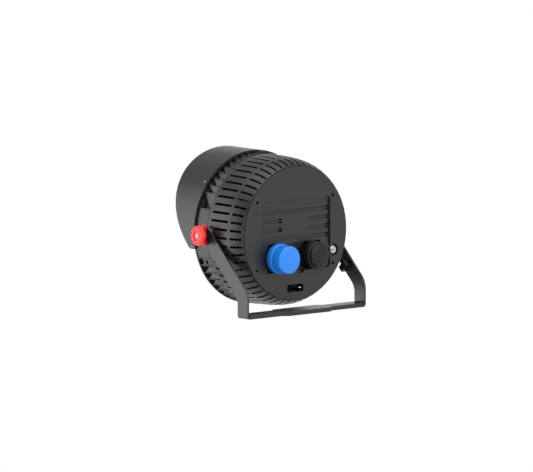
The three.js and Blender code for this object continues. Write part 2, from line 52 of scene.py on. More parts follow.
# the light's own landmarks, read from the frame
coverLow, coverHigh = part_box("rear_cover")
armLow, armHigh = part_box("yoke_bracket")
plateLow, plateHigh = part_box("yoke_base_plate")
headOrigin = Vector((0, coverLow.y, (coverLow.z + coverHigh.z) / 2))
pivot = Vector(next(joint for joint in frame["joints"] if joint["name"] == "tilt")["pos_m"])
pivotForward = (pivot.y - headOrigin.y) / mm
yokeHalf = armHigh.x / mm
slotCount = 56
pitch = turn / slotCount
coverScrewAt = (66.8, 45.8)


# ---- small mesh tools

def aim(origin, direction):
    # local Z points along the direction, local X stays level; an upright direction must be a unit vector
    direction = Vector(direction)
    if abs(direction.z) > 0.9:
        return Matrix.Translation(origin) @ direction.to_track_quat("Z", "Y").to_matrix().to_4x4()
    z = direction.normalized()
    x = Vector((0, 0, 1)).cross(z).normalized()
    basis = Matrix((x, z.cross(x), z)).transposed().to_4x4()
    return Matrix.Translation(origin) @ basis


def head(x, y, z):
    # millimetres from the middle of the rear face
    return headOrigin + Vector((x, y, z)) * mm


# forward: local X is across, local Y is down (-Z), local Z is along the beam
forward = Matrix.Translation(headOrigin) @ Matrix(((1, 0, 0, 0), (0, 0, 1, 0), (0, -1, 0, 0), (0, 0, 0, 1)))
# sideways: local X is along the beam, local Y is up, local Z is across
sideways = Matrix(((0, 0, 1, 0), (1, 0, 0, 0), (0, 1, 0, 0), (0, 0, 0, 1)))


def outward(degrees):
    # away from the drum's axis, 0 to the right and 90 up
    angle = math.radians(degrees)
    return Vector((math.cos(angle), 0, math.sin(angle)))


def turned(profile, place, steps=96):
    # profile of (radius, height) in millimetres, spun about local Z
    bm = bmesh.new()
    verts = [bm.verts.new((radius * mm, 0, height * mm)) for radius, height in profile]
    edges = [bm.edges.new(pair) for pair in zip(verts, verts[1:])]
    bmesh.ops.spin(bm, geom=verts + edges, cent=(0, 0, 0), axis=(0, 0, 1), angle=turn, steps=steps,
                   use_merge=True)
    bmesh.ops.remove_doubles(bm, verts=bm.verts, dist=1e-6)
    bmesh.ops.recalc_face_normals(bm, faces=bm.faces)
    bmesh.ops.transform(bm, matrix=place, verts=bm.verts)
    return bm


def prism(corners, depth, place, segments=6):
    # outline of (x, y, radius) in millimetres in local XY, given depth along local Z
    bm = bmesh.new()
    verts = [bm.verts.new((x * mm, y * mm, 0)) for x, y, radius in corners]
    bm.faces.new(verts)
    for vert, (x, y, radius) in zip(verts, corners):
        if radius:
            sides = [(edge.other_vert(vert).co - vert.co).normalized() for edge in vert.link_edges]
            reach = radius * mm / math.tan(sides[0].angle(sides[1]) / 2)
            bmesh.ops.bevel(bm, geom=[vert], offset=reach, offset_type="OFFSET", segments=segments,
                            profile=0.5, affect="VERTICES", material=-1)
    grown = bmesh.ops.extrude_face_region(bm, geom=list(bm.faces))["geom"]
    moved = [item for item in grown if isinstance(item, bmesh.types.BMVert)]
    bmesh.ops.translate(bm, verts=moved, vec=(0, 0, depth * mm))
    bmesh.ops.recalc_face_normals(bm, faces=bm.faces)
    bmesh.ops.transform(bm, matrix=place, verts=bm.verts)
    return bm


def rod(radius, start, end, steps=32):
    # plain round bar between two points
    start, end = Vector(start), Vector(end)
    bm = bmesh.new()
    bmesh.ops.create_cone(bm, cap_ends=True, segments=steps, radius1=radius * mm, radius2=radius * mm,
                          depth=(end - start).length)
    bmesh.ops.transform(bm, matrix=aim((start + end) / 2, end - start), verts=bm.verts)
    return bm


def box(low, high):
    bm = bmesh.new()
    bmesh.ops.create_cube(bm, size=1)
    low, high = Vector(low), Vector(high)
    bmesh.ops.scale(bm, vec=high - low, verts=bm.verts)
    bmesh.ops.translate(bm, vec=(low + high) / 2, verts=bm.verts)
    return bm


def together(parts):
    # several closed shells as one mesh
    whole = bmesh.new()
    for part in parts:
        mesh = bpy.data.meshes.new("part")
        part.to_mesh(mesh)
        part.free()
        whole.from_mesh(mesh)
        bpy.data.meshes.remove(mesh)
    return whole


def plainObject(name, bm):
    mesh = bpy.data.meshes.new(name)
    bm.to_mesh(mesh)
    bm.free()
    piece = bpy.data.objects.new(name, mesh)
    bpy.context.scene.collection.objects.link(piece)
    return piece


def finishedMesh(piece):
    bpy.context.view_layer.update()
    evaluated = piece.evaluated_get(bpy.context.evaluated_depsgraph_get())
    return bpy.data.meshes.new_from_object(evaluated)


def carve(base, tools, operation="DIFFERENCE"):
    # cuts or joins closed shells; tools that overlap each other go in separate calls
    body = plainObject("carveBody", base)
    tool = plainObject("carveTool", together(tools))
    step = body.modifiers.new("carve", "BOOLEAN")
    step.object = tool
    step.operation = operation
    step.solver = "EXACT"
    mesh = finishedMesh(body)
    result = bmesh.new()
    result.from_mesh(mesh)
    bpy.data.meshes.remove(mesh)
    for used in (body, tool):
        data = used.data
        bpy.data.objects.remove(used)
        bpy.data.meshes.remove(data)
    bmesh.ops.remove_doubles(result, verts=result.verts, dist=2e-6)
    return result


def bevelEdges(piece, width, angle):
    edge = piece.modifiers.new("edges", "BEVEL")
    edge.width = width * mm
    edge.segments = 2
    edge.limit_method = "ANGLE"
    edge.angle_limit = math.radians(angle)
    edge.harden_normals = True


def addPiece(name, bm, body, material, replaced=(), bevel=0.3):
    sharpAngle = 32
    piece = plainObject(name, bm)
    piece.data.materials.append(material)
    for face in piece.data.polygons:
        face.use_smooth = True
    piece.data.set_sharp_from_angle(angle=math.radians(sharpAngle))
    if bevel:
        bevelEdges(piece, bevel, sharpAngle)
    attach(piece, body)
    if replaced:
        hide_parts(*replaced)
    return piece


# ---- material tools

def newGroup(name, inputs, outputs):
    group = bpy.data.node_groups.new(name, "ShaderNodeTree")
    for label, kind, default in inputs:
        item = group.interface.new_socket(name=label, in_out="INPUT", socket_type=kind)
        item.default_value = default
    for label, kind in outputs:
        group.interface.new_socket(name=label, in_out="OUTPUT", socket_type=kind)
    source = group.nodes.new("NodeGroupInput")
    result = group.nodes.new("NodeGroupOutput")
    return group, source, result


def noise(tree, vector, scale, detail=3, roughness=0.5):
    node = tree.nodes.new("ShaderNodeTexNoise")
    node.inputs["Scale"].default_value = scale
    node.inputs["Detail"].default_value = detail
    node.inputs["Roughness"].default_value = roughness
    tree.links.new(vector, node.inputs["Vector"])
    return node.outputs["Fac"]


def rangeOf(tree, value, low, high, newLow=0.0, newHigh=1.0):
    node = tree.nodes.new("ShaderNodeMapRange")
    for index, number in ((1, low), (2, high), (3, newLow), (4, newHigh)):
        node.inputs[index].default_value = number
    tree.links.new(value, node.inputs[0])
    return node.outputs[0]


def math2(tree, operation, first, second):
    node = tree.nodes.new("ShaderNodeMath")
    node.operation = operation
    for index, value in enumerate((first, second)):
        if isinstance(value, (int, float)):
            node.inputs[index].default_value = value
        else:
            tree.links.new(value, node.inputs[index])
    return node.outputs[0]


def mixColour(tree, factor, first, second):
    node = tree.nodes.new("ShaderNodeMix")
    node.data_type = "RGBA"
    for index, value in ((0, factor), (6, first), (7, second)):
        if isinstance(value, (int, float, tuple)):
            node.inputs[index].default_value = value
        else:
            tree.links.new(value, node.inputs[index])
    return node.outputs[2]


def objectCoords(tree):
    return tree.nodes.new("ShaderNodeTexCoord").outputs["Object"]


def makeEdgeGroup():
    # mask of convex edges, broken up so that it looks scuffed and not drawn; it lightens the edges as scuffed
    # paint and as a painted edge highlight
    tree, source, result = newGroup("scuffedAndHighlitEdges", [("Width", "NodeSocketFloat", 0.0006)],
                                    [("Mask", "NodeSocketFloat")])
    bevel = tree.nodes.new("ShaderNodeBevel")
    bevel.samples = 4
    tree.links.new(source.outputs["Width"], bevel.inputs["Radius"])
    geometry = tree.nodes.new("ShaderNodeNewGeometry")
    dot = tree.nodes.new("ShaderNodeVectorMath")
    dot.operation = "DOT_PRODUCT"
    tree.links.new(bevel.outputs[0], dot.inputs[0])
    tree.links.new(geometry.outputs["Normal"], dot.inputs[1])
    edge = rangeOf(tree, dot.outputs["Value"], 0.985, 0.86)
    broken = rangeOf(tree, noise(tree, objectCoords(tree), 160, 4), 0.38, 0.62)
    tree.links.new(math2(tree, "MULTIPLY", edge, broken), result.inputs["Mask"])
    return tree


def makePowderGroup():
    # baked powder coat: fine orange peel, faint mottling and a breath of dust on what faces up
    tree, source, result = newGroup(
        "powderCoat",
        [("Color", "NodeSocketColor", (0.03, 0.03, 0.03, 1)), ("Roughness", "NodeSocketFloat", 0.5),
         ("Peel", "NodeSocketFloat", 0.2), ("Dust", "NodeSocketFloat", 0.02)],
        [("Color", "NodeSocketColor"), ("Roughness", "NodeSocketFloat"), ("Normal", "NodeSocketVector")])
    where = objectCoords(tree)
    fine = noise(tree, where, 1900, 2)
    broad = noise(tree, where, 55, 4)
    patches = noise(tree, where, 9, 3)
    geometry = tree.nodes.new("ShaderNodeNewGeometry")
    split = tree.nodes.new("ShaderNodeSeparateXYZ")
    tree.links.new(geometry.outputs["Normal"], split.inputs[0])
    upward = rangeOf(tree, split.outputs["Z"], 0.2, 1.0)
    dusty = math2(tree, "MULTIPLY", math2(tree, "MULTIPLY", upward, patches), source.outputs["Dust"])
    mottled = tree.nodes.new("ShaderNodeHueSaturation")
    tree.links.new(rangeOf(tree, broad, 0.3, 0.7, 0.94, 1.06), mottled.inputs["Value"])
    tree.links.new(source.outputs["Color"], mottled.inputs["Color"])
    tree.links.new(mixColour(tree, dusty, mottled.outputs[0], (0.5, 0.49, 0.47, 1)), result.inputs["Color"])
    rough = math2(tree, "ADD", source.outputs["Roughness"], rangeOf(tree, fine, 0.2, 0.8, -0.05, 0.05))
    tree.links.new(math2(tree, "ADD", rough, dusty), result.inputs["Roughness"])
    bump = tree.nodes.new("ShaderNodeBump")
    bump.inputs["Distance"].default_value = 0.00012
    tree.links.new(source.outputs["Peel"], bump.inputs["Strength"])
    tree.links.new(math2(tree, "ADD", fine, math2(tree, "MULTIPLY", broad, 0.3)), bump.inputs["Height"])
    tree.links.new(bump.outputs[0], result.inputs["Normal"])
    return tree


def makeMouldGroup():
    # moulded plastic or rubber: spark-eroded skin with slow colour drift
    tree, source, result = newGroup(
        "mouldedSkin",
        [("Color", "NodeSocketColor", (0.03, 0.03, 0.03, 1)), ("Roughness", "NodeSocketFloat", 0.4),
         ("Skin", "NodeSocketFloat", 0.15)],
        [("Color", "NodeSocketColor"), ("Roughness", "NodeSocketFloat"), ("Normal", "NodeSocketVector")])
    where = objectCoords(tree)
    skin = noise(tree, where, 2600, 3)
    drift = noise(tree, where, 38, 3)
    shade = tree.nodes.new("ShaderNodeHueSaturation")
    tree.links.new(rangeOf(tree, drift, 0.3, 0.7, 0.95, 1.05), shade.inputs["Value"])
    tree.links.new(source.outputs["Color"], shade.inputs["Color"])
    tree.links.new(shade.outputs[0], result.inputs["Color"])
    rough = math2(tree, "ADD", source.outputs["Roughness"], rangeOf(tree, drift, 0.3, 0.7, -0.04, 0.04))
    tree.links.new(rough, result.inputs["Roughness"])
    bump = tree.nodes.new("ShaderNodeBump")
    bump.inputs["Distance"].default_value = 0.00006
    tree.links.new(source.outputs["Skin"], bump.inputs["Strength"])
    tree.links.new(skin, bump.inputs["Height"])
    tree.links.new(bump.outputs[0], result.inputs["Normal"])
    return tree


edgeGroup = makeEdgeGroup()
powderGroup = makePowderGroup()
mouldGroup = makeMouldGroup()


def newMaterial(name):
    material = bpy.data.materials.new(name)
    material.use_nodes = True
    return material, material.node_tree, material.node_tree.nodes["Principled BSDF"]


def useGroup(tree, group, **values):
    node = tree.nodes.new("ShaderNodeGroup")
    node.node_tree = group
    for label, value in values.items():
        node.inputs[label].default_value = value
    return node


def powderPaint(name, grey, roughness, peel, dust, wearAndHighlight=0.35, wornAndHighlitColour=(0.16, 0.16, 0.165, 1)):
    material, tree, shader = newMaterial(name)
    coat = useGroup(tree, powderGroup, Color=(grey, grey, grey * 1.02, 1), Roughness=roughness, Peel=peel,
                    Dust=dust)
    edges = useGroup(tree, edgeGroup, Width=0.0005)
    # convex edges lightened towards a pale grey: partly scuffed paint, partly a painted edge highlight
    wearAndHighlightMask = math2(tree, "MULTIPLY", edges.outputs["Mask"], wearAndHighlight)
    tree.links.new(mixColour(tree, wearAndHighlightMask, coat.outputs["Color"], wornAndHighlitColour), shader.inputs["Base Color"])
    tree.links.new(coat.outputs["Roughness"], shader.inputs["Roughness"])
    tree.links.new(coat.outputs["Normal"], shader.inputs["Normal"])
    return material


def moulded(name, colour, roughness, skin, coat=0.0, shine=0.5):
    material, tree, shader = newMaterial(name)
    node = useGroup(tree, mouldGroup, Color=colour + (1,), Roughness=roughness, Skin=skin)
    for label in ("Roughness", "Normal"):
        tree.links.new(node.outputs[label], shader.inputs[label])
    tree.links.new(node.outputs["Color"], shader.inputs["Base Color"])
    shader.inputs["Coat Weight"].default_value = coat
    shader.inputs["Specular IOR Level"].default_value = shine
    return material


def metal(name, colour, roughness, grain, stretch=(1, 1, 1)):
    # drawn or brushed metal, with streaks along the stretched axis
    material, tree, shader = newMaterial(name)
    mapping = tree.nodes.new("ShaderNodeMapping")
    mapping.inputs["Scale"].default_value = stretch
    tree.links.new(objectCoords(tree), mapping.inputs["Vector"])
    streaks = noise(tree, mapping.outputs[0], 900, 4)
    stains = noise(tree, objectCoords(tree), 70, 3)
    tree.links.new(mixColour(tree, rangeOf(tree, stains, 0.35, 0.75, 0, 0.5), colour + (1,),
                             tuple(0.72 * c for c in colour) + (1,)), shader.inputs["Base Color"])
    tree.links.new(rangeOf(tree, streaks, 0.2, 0.8, roughness - 0.07, roughness + 0.1),
                   shader.inputs["Roughness"])
    shader.inputs["Metallic"].default_value = 1
    bump = tree.nodes.new("ShaderNodeBump")
    bump.inputs["Strength"].default_value = grain
    bump.inputs["Distance"].default_value = 0.00005
    tree.links.new(streaks, bump.inputs["Height"])
    tree.links.new(bump.outputs[0], shader.inputs["Normal"])
    return material


def clearMaterial(name, tint, roughness, ripple):
    material, tree, shader = newMaterial(name)
    shader.inputs["Base Color"].default_value = tint + (1,)
    shader.inputs["Transmission Weight"].default_value = 1
    shader.inputs["IOR"].default_value = 1.46
    bump = tree.nodes.new("ShaderNodeBump")
    bump.inputs["Strength"].default_value = ripple
    bump.inputs["Distance"].default_value = 0.0001
    smears = noise(tree, objectCoords(tree), 26, 4)
    tree.links.new(rangeOf(tree, smears, 0.4, 0.8, roughness, roughness + 0.06), shader.inputs["Roughness"])
    tree.links.new(noise(tree, objectCoords(tree), 14, 2), bump.inputs["Height"])
    tree.links.new(bump.outputs[0], shader.inputs["Normal"])
    return material


def circuitMaterial():
    # solder mask with copper tracks under it
    material, tree, shader = newMaterial("solderMask")
    brick = tree.nodes.new("ShaderNodeTexBrick")
    brick.inputs["Scale"].default_value = 210
    brick.inputs["Mortar Size"].default_value = 0.04
    turnedCoords = tree.nodes.new("ShaderNodeMapping")
    turnedCoords.inputs["Rotation"].default_value = (math.pi / 2, 0, 0)
    tree.links.new(objectCoords(tree), turnedCoords.inputs["Vector"])
    tree.links.new(turnedCoords.outputs[0], brick.inputs["Vector"])
    tree.links.new(mixColour(tree, brick.outputs["Fac"], (0.012, 0.075, 0.032, 1), (0.05, 0.2, 0.08, 1)),
                   shader.inputs["Base Color"])
    tree.links.new(rangeOf(tree, noise(tree, objectCoords(tree), 300), 0.2, 0.8, 0.3, 0.5),
                   shader.inputs["Roughness"])
    return material


paint = {
    "cover": powderPaint("coverPaint", 0.010, 0.32, 0.08, 0.006),
    "shroud": powderPaint("shroudPaint", 0.012, 0.32, 0.12, 0.006),
    "shade": powderPaint("shadePaint", 0.012, 0.30, 0.12, 0.006),
    "yoke": powderPaint("yokePaint", 0.012, 0.26, 0.05, 0.004),
}
blackPlastic = moulded("blackPlastic", (0.005, 0.005, 0.005), 0.22, 0.06, shine=0.3)
bluePlastic = moulded("bluePlastic", (0.006, 0.185, 0.68), 0.36, 0.12)
redPlastic = moulded("redPlastic", (0.80, 0.012, 0.012), 0.32, 0.1, 0.1)
sealRubber = moulded("sealRubber", (0.012, 0.012, 0.012), 0.75, 0.6)
nylon = moulded("nylon", (0.62, 0.62, 0.58), 0.5, 0.3)
brightSteel = metal("brightSteel", (0.48, 0.48, 0.49), 0.24, 0.1)
darkSteel = metal("darkSteel", (0.07, 0.07, 0.075), 0.42, 0.2)
plainAluminium = metal("plainAluminium", (0.7, 0.71, 0.73), 0.38, 0.3, (1, 1, 14))
frontGlass = clearMaterial("frontGlass", (0.95, 0.98, 0.98), 0.01, 0.02)
lensPlastic = clearMaterial("lensPlastic", (0.93, 0.96, 0.97), 0.06, 0.05)
solderMask = circuitMaterial()
print("materials ready")


# ---- camera, world and floor

studio = {
    "azimuth": -41.0, "elevation": 7.0, "lens": 800, "sensor": 36,
    "frameWidth": 0.712, "target": Vector((-0.0294, 0.0384, 0.1020)), "floorDrop": 0.0102,
}


def makeCamera():
    data = bpy.data.cameras.new("camera")
    data.lens = studio["lens"]
    data.sensor_width = studio["sensor"]
    data.clip_end = 200
    camera = bpy.data.objects.new("camera", data)
    bpy.context.scene.collection.objects.link(camera)
    azimuth, elevation = math.radians(studio["azimuth"]), math.radians(studio["elevation"])
    back = Vector((math.sin(azimuth) * math.cos(elevation), -math.cos(azimuth) * math.cos(elevation),
                   math.sin(elevation)))
    distance = studio["frameWidth"] * studio["lens"] / studio["sensor"]
    camera.location = studio["target"] + back * distance
    camera.rotation_euler = (-back).to_track_quat("-Z", "Y").to_euler()
    bpy.context.scene.camera = camera


studioGlow = {
    # direction, cosine where it starts, cosine where it is full, strength
    "floorLeft": ((-0.65, 0.75, -0.02), 0.70, 0.97, 1.75),
    "behindCamera": ((0.1, -0.7, 0.7), 0.62, 0.93, 1.9),
    "overhead": ((-0.1, 0.1, 1.0), 0.75, 0.97, 1.4),
}
studioLevel = {"floor": 1.0, "sky": 0.42, "horizon": (-0.05, 0.6), "seen": 1.0}


def makeWorld():
    # a pale floor all round, a dark upper room and three soft panels
    world = bpy.data.worlds.new("studio")
    world.use_nodes = True
    tree = world.node_tree
    background = tree.nodes["Background"]
    direction = tree.nodes.new("ShaderNodeTexCoord").outputs["Generated"]
    split = tree.nodes.new("ShaderNodeSeparateXYZ")
    tree.links.new(direction, split.inputs[0])
    low, high = studioLevel["horizon"]
    total = rangeOf(tree, split.outputs["Z"], low, high, studioLevel["floor"], studioLevel["sky"])
    for towards, start, full, strength in studioGlow.values():
        dot = tree.nodes.new("ShaderNodeVectorMath")
        dot.operation = "DOT_PRODUCT"
        dot.inputs[1].default_value = Vector(towards).normalized()
        tree.links.new(direction, dot.inputs[0])
        total = math2(tree, "ADD", total, rangeOf(tree, dot.outputs["Value"], start, full, 0, strength))
    path = tree.nodes.new("ShaderNodeLightPath")
    level = tree.nodes.new("ShaderNodeMix")
    level.inputs[3].default_value = studioLevel["seen"]
    tree.links.new(path.outputs["Is Camera Ray"], level.inputs[0])
    tree.links.new(total, level.inputs[2])
    tree.links.new(level.outputs[0], background.inputs["Strength"])
    background.inputs["Color"].default_value = (1, 1, 1, 1)
    bpy.context.scene.world = world


def makeFloor():
    # paper burnt out to the white of the backdrop; the light it would send up is in the world's floor level
    bm = bmesh.new()
    bmesh.ops.create_grid(bm, x_segments=1, y_segments=1, size=40)
    bmesh.ops.translate(bm, verts=bm.verts, vec=(0, 0, plateLow.z - studio["floorDrop"]))
    floor = plainObject("floor", bm)
    material, tree, shader = newMaterial("whitePaper")
    paper = tree.nodes.new("ShaderNodeEmission")
    paper.inputs["Color"].default_value = (1, 1, 1, 1)
    clear = tree.nodes.new("ShaderNodeBsdfTransparent")
    path = tree.nodes.new("ShaderNodeLightPath")
    blend = tree.nodes.new("ShaderNodeMixShader")
    tree.links.new(path.outputs["Is Camera Ray"], blend.inputs[0])
    tree.links.new(clear.outputs[0], blend.inputs[1])
    tree.links.new(paper.outputs[0], blend.inputs[2])
    tree.links.new(blend.outputs[0], tree.nodes["Material Output"].inputs["Surface"])
    tree.nodes.remove(shader)
    floor.data.materials.append(material)


makeCamera()
makeWorld()
makeFloor()
bpy.context.scene.view_settings.view_transform = "Standard"
print("studio ready")


# ---- shroud

shroudLook = {
    "phase": 0.2, "rows": ((1.3, 20.8), (25.2, 57.9)), "slotHalf": 1.7, "slotCorner": 1.19, "rear": 0.5,
    "front": 63.5, "flatRadius": 100, "strips": 16, "sideLines": 3.2,
    "edge": 100.8, "swell": 10.2, "taper": 13.5, "wall": 2.2, "besidePivot": 50.0, "bandLine": 23.0,
}


def shroudRadius(y):
    # barrel: almost straight at the front, pulling in towards the rear
    return shroudLook["edge"] - shroudLook["swell"] * math.exp(-y / shroudLook["taper"])


def addLine(bm, x=0, y=0):
    # an edge line across a flat sheet, at the given x or y
    normal = (1, 0, 0) if x else (0, 1, 0)
    sheet = bm.verts[:] + bm.edges[:] + bm.faces[:]
    bmesh.ops.bisect_plane(bm, geom=sheet, plane_co=(x, y, 0), plane_no=normal)


def shroudSector(frontEnd):
    # one pitch of the shroud, flat, with a round-ended slot in each row
    look = shroudLook
    half = pitch * look["flatRadius"] / 2
    bm = bmesh.new()
    corners = [(-half, look["rear"]), (half, look["rear"]), (half, look["front"]), (-half, look["front"])]
    bm.faces.new([bm.verts.new((x, y, 0)) for x, y in corners])
    addLine(bm, y=look["bandLine"])
    for low, high in (look["rows"][0], (look["rows"][1][0], frontEnd)):
        cell = next(face for face in bm.faces if face.calc_area() > 100
                    and min(v.co.y for v in face.verts) < low and max(v.co.y for v in face.verts) > high)
        bmesh.ops.inset_individual(bm, faces=[cell], thickness=0.4)
        for vert in cell.verts:
            vert.co.x = math.copysign(look["slotHalf"], vert.co.x)
            vert.co.y = low if vert.co.y < (low + high) / 2 else high
        bmesh.ops.bevel(bm, geom=list(cell.verts), offset=look["slotCorner"], segments=5, profile=0.5,
                        affect="VERTICES", material=-1)
        middle = Vector((0, (low + high) / 2, 0))
        opening = min(bm.faces, key=lambda face: (face.calc_center_median() - middle).length)
        bmesh.ops.delete(bm, geom=[opening], context="FACES")
    for step in range(1, look["strips"]):
        addLine(bm, y=look["rear"] + (look["front"] - look["rear"]) * step / look["strips"])
    for x in (-look["sideLines"], look["sideLines"]):
        addLine(bm, x=x)
    return bm


def makeShroud():
    sectors = []
    for index in range(slotCount):
        middle = (index + shroudLook["phase"]) * pitch
        besidePivot = abs(math.sin(middle)) < math.sin(pitch)
        bm = shroudSector(shroudLook["besidePivot"] if besidePivot else shroudLook["rows"][1][1])
        for vert in bm.verts:
            angle, y = middle + vert.co.x / shroudLook["flatRadius"], vert.co.y
            vert.co = head(shroudRadius(y) * math.cos(angle), y, shroudRadius(y) * math.sin(angle))
        sectors.append(bm)
    bm = together(sectors)
    bmesh.ops.remove_doubles(bm, verts=bm.verts, dist=1e-5)
    bmesh.ops.recalc_face_normals(bm, faces=bm.faces)
    sample = max(bm.faces, key=lambda face: face.calc_center_median().x)
    if sample.normal.x < 0:
        bmesh.ops.reverse_faces(bm, faces=bm.faces)
    piece = addPiece("shroudCasing", bm, "head", paint["shroud"], ["shroud"], bevel=0)
    wall = piece.modifiers.new("wall", "SOLIDIFY")
    wall.thickness = shroudLook["wall"] * mm
    wall.offset = -1
    bevelEdges(piece, 0.28, 50)


makeShroud()
print("shroud ready")


# ---- heat sink: fins, pivot panels, core

finLook = {
    "thick": 1.1, "draft": 0.6, "rear": 63.8, "front": 87.1, "outer": 101.5, "tipInner": 98.0,
    "rootInner": 83.8, "rootFront": 78.0, "seat": 63.0, "missing": (4, 24),
}
webLook = {"outer": 100.6, "lean": 5.0, "thick": 1.6, "near": 71.5, "far": 84.5, "steps": 6}
panelLook = {"half": 18.8, "inner": 83, "outer": 101.0, "front": 83.8, "lipThick": 3.5, "bossRadius": 10.6}
tabLook = {"angles": {"right": -22.6, "left": 202.6}, "half": 3.1, "inner": 97.4, "outer": 100.7,
           "front": 79.5, "holeAt": 72.3, "holeRadius": 3}


def makeFin(angle):
    # cast with draft: thin at its outer edge, thick at its root, its inner front corner cut away
    look = finLook
    root, outer, front = look["rootInner"], look["outer"], look["front"]
    corners = [(root, look["seat"], 0), (outer, look["rear"], 0), (outer, front, 0),
               (look["tipInner"], front, 0), (root, look["rootFront"], 0)]
    fin = prism(corners, look["thick"], Matrix.Translation((0, 0, -look["thick"] / 2 * mm)))
    for vert in fin.verts:
        inward = (outer - vert.co.x / mm) / (outer - root)
        vert.co.z *= 1 + look["draft"] * inward
    out = outward(math.degrees(angle))
    beam = Vector((0, 1, 0))
    place = Matrix.Translation(headOrigin) @ Matrix((out, beam, out.cross(beam))).transposed().to_4x4()
    bmesh.ops.transform(fin, matrix=place, verts=fin.verts)
    bmesh.ops.recalc_face_normals(fin, faces=fin.faces)
    return fin


def onPanel(angle):
    return abs(math.sin(angle)) < math.sin(math.radians(panelLook["half"]))


def makeWeb(first, cells):
    # between two fins, or across a missing one: it leans inward towards the pivot, and slants back that way
    web = webLook
    last = first + cells * pitch
    lean = web["lean"] * (1 + cells) / 2
    nearFirst = abs(math.sin(first)) < abs(math.sin(last))
    bm = bmesh.new()
    rings = []
    for step in range(web["steps"] + 1):
        share = step / web["steps"]
        angle = first + (last - first) * share
        reach = share if nearFirst else 1 - share
        front = web["near"] + (web["far"] - web["near"]) * reach
        outer = web["outer"] - lean * (1 - reach)
        inner = outer - web["thick"]
        corners = [(inner, finLook["seat"]), (outer, finLook["seat"]), (outer, front), (inner, front)]
        rings.append([bm.verts.new(head(radius * math.cos(angle), y, radius * math.sin(angle)))
                      for radius, y in corners])
    for ring, following in zip(rings, rings[1:]):
        for index in range(4):
            after = (index + 1) % 4
            bm.faces.new((ring[index], ring[after], following[after], following[index]))
    bm.faces.new(rings[0])
    bm.faces.new(reversed(rings[-1]))
    bmesh.ops.recalc_face_normals(bm, faces=bm.faces)
    return bm


def makeHeatSink():
    missing = finLook["missing"]
    base = [(0, 57.5), (97.4, 57.5), (97.4, 63.5), (84, 63.5), (84, 82.3), (76, 82.3), (76, 61.5), (0, 61.5)]
    parts = [turned(base, forward, 144)]
    for index in range(slotCount):
        if index not in missing and not onPanel(index * pitch):
            parts.append(makeFin(index * pitch))
    for index in range(slotCount):
        if index not in missing and not onPanel((index + 0.5) * pitch):
            parts.append(makeWeb(index * pitch, 2 if index + 1 in missing else 1))
    parts.append(turned([(91, 63.4), (93.5, 63.4), (93.5, 82.3), (91, 82.3), (91, 63.4)], forward, 192))
    for x, z in coverScrewPlaces():
        parts.append(makePost(x, z))
    addPiece("heatSinkBody", together(parts), "head", paint["shroud"], ["heat_sink"],
             bevel=0.12)


def coverScrewPlaces():
    across, up = coverScrewAt
    return [(x, z) for x in (-across, across) for z in (-up, up)]


def makePost(x, z):
    place = aim(head(x, 0, z), (0, 1, 0))
    return turned([(1.5, 20), (1.5, 5.8), (4.5, 5.8), (4.5, 27.6), (6.5, 27.6), (6.5, 58), (0, 58), (0, 20),
                   (1.5, 20)], place, 24)


def sectorBlock(inner, outer, rear, front, middle, half, steps=20, lip=None):
    # a curved block about the drum's axis, its outer edge drawn forward into a lip if one is given
    bm = bmesh.new()
    start = math.radians(middle - half)
    corners = [(inner, rear), (outer, rear), (outer, front), (inner, front)]
    if lip:
        lipInner = outer - panelLook["lipThick"]
        corners[2:3] = [(outer, lip), (lipInner, lip), (lipInner, front)]
    face = bm.faces.new([bm.verts.new(head(radius * math.cos(start), y, radius * math.sin(start)))
                         for radius, y in corners])
    bmesh.ops.spin(bm, geom=[face] + face.edges[:] + face.verts[:], cent=headOrigin, axis=(0, -1, 0),
                   angle=math.radians(2 * half), steps=steps)
    bmesh.ops.recalc_face_normals(bm, faces=bm.faces)
    return bm


def makePivotPanels():
    look = panelLook
    for name, side, middle in (("left", -1, 180), ("right", 1, 0)):
        panel = sectorBlock(look["inner"], look["outer"], finLook["rear"], look["front"], middle, look["half"],
                            32, finLook["front"])
        bossEnds = [head(side * reach, pivotForward, 0) for reach in (84.3, 112)]
        boss = rod(look["bossRadius"], *bossEnds, 64)
        addPiece("pivotPanel_" + name, carve(panel, [boss]), "head", paint["shroud"],
                 bevel=0.3)


def makeCableTabs():
    look = tabLook
    for name, middle in look["angles"].items():
        tab = sectorBlock(look["inner"], look["outer"], finLook["rear"], look["front"], middle, look["half"],
                          8)
        centre = head(0, look["holeAt"], 0)
        out = outward(middle)
        hole = rod(look["holeRadius"], centre + out * 90 * mm, centre + out * 110 * mm, 32)
        addPiece("cableTab_" + name, carve(tab, [hole]), "head", paint["shroud"], bevel=0.25)


makeHeatSink()
makePivotPanels()
makeCableTabs()
print("heat sink ready")


# ---- front ring and shade

def makeFrontRing():
    # a neck, a flange with a chamfered mouth, and an arc on its front face that carries the shade
    profile = [(80.4, 84), (96.6, 84), (96.6, 87.5), (101.8, 87.5), (101.8, 90.2), (76, 90.2), (74, 88.6),
               (74, 87.5), (80.4, 87.5), (80.4, 84)]
    arc = sectorBlock(98, 102.4, 89.4, 96, 90, 101.5, 120)
    ring = carve(turned(profile, forward, 192), [arc], "UNION")
    addPiece("frontRing", ring, "head", paint["shroud"], ["front_ring"], bevel=0.35)


shadeLook = {"back": 86.6, "front": 148.2, "radius": 104.3, "sheet": 1.5, "bottom": -21.8, "corner": 5,
             "drop": 0.00835, "power": 1.8, "rakeSteps": 64, "past": 24, "below": -120,
             "screws": (-10, 40, 90, 140, 190), "screwY": 92.0}


def shadeRake(z):
    # how far forward the shade reaches at this height: most at the top
    look = shadeLook
    return look["front"] - look["drop"] * (look["radius"] - z) ** look["power"]


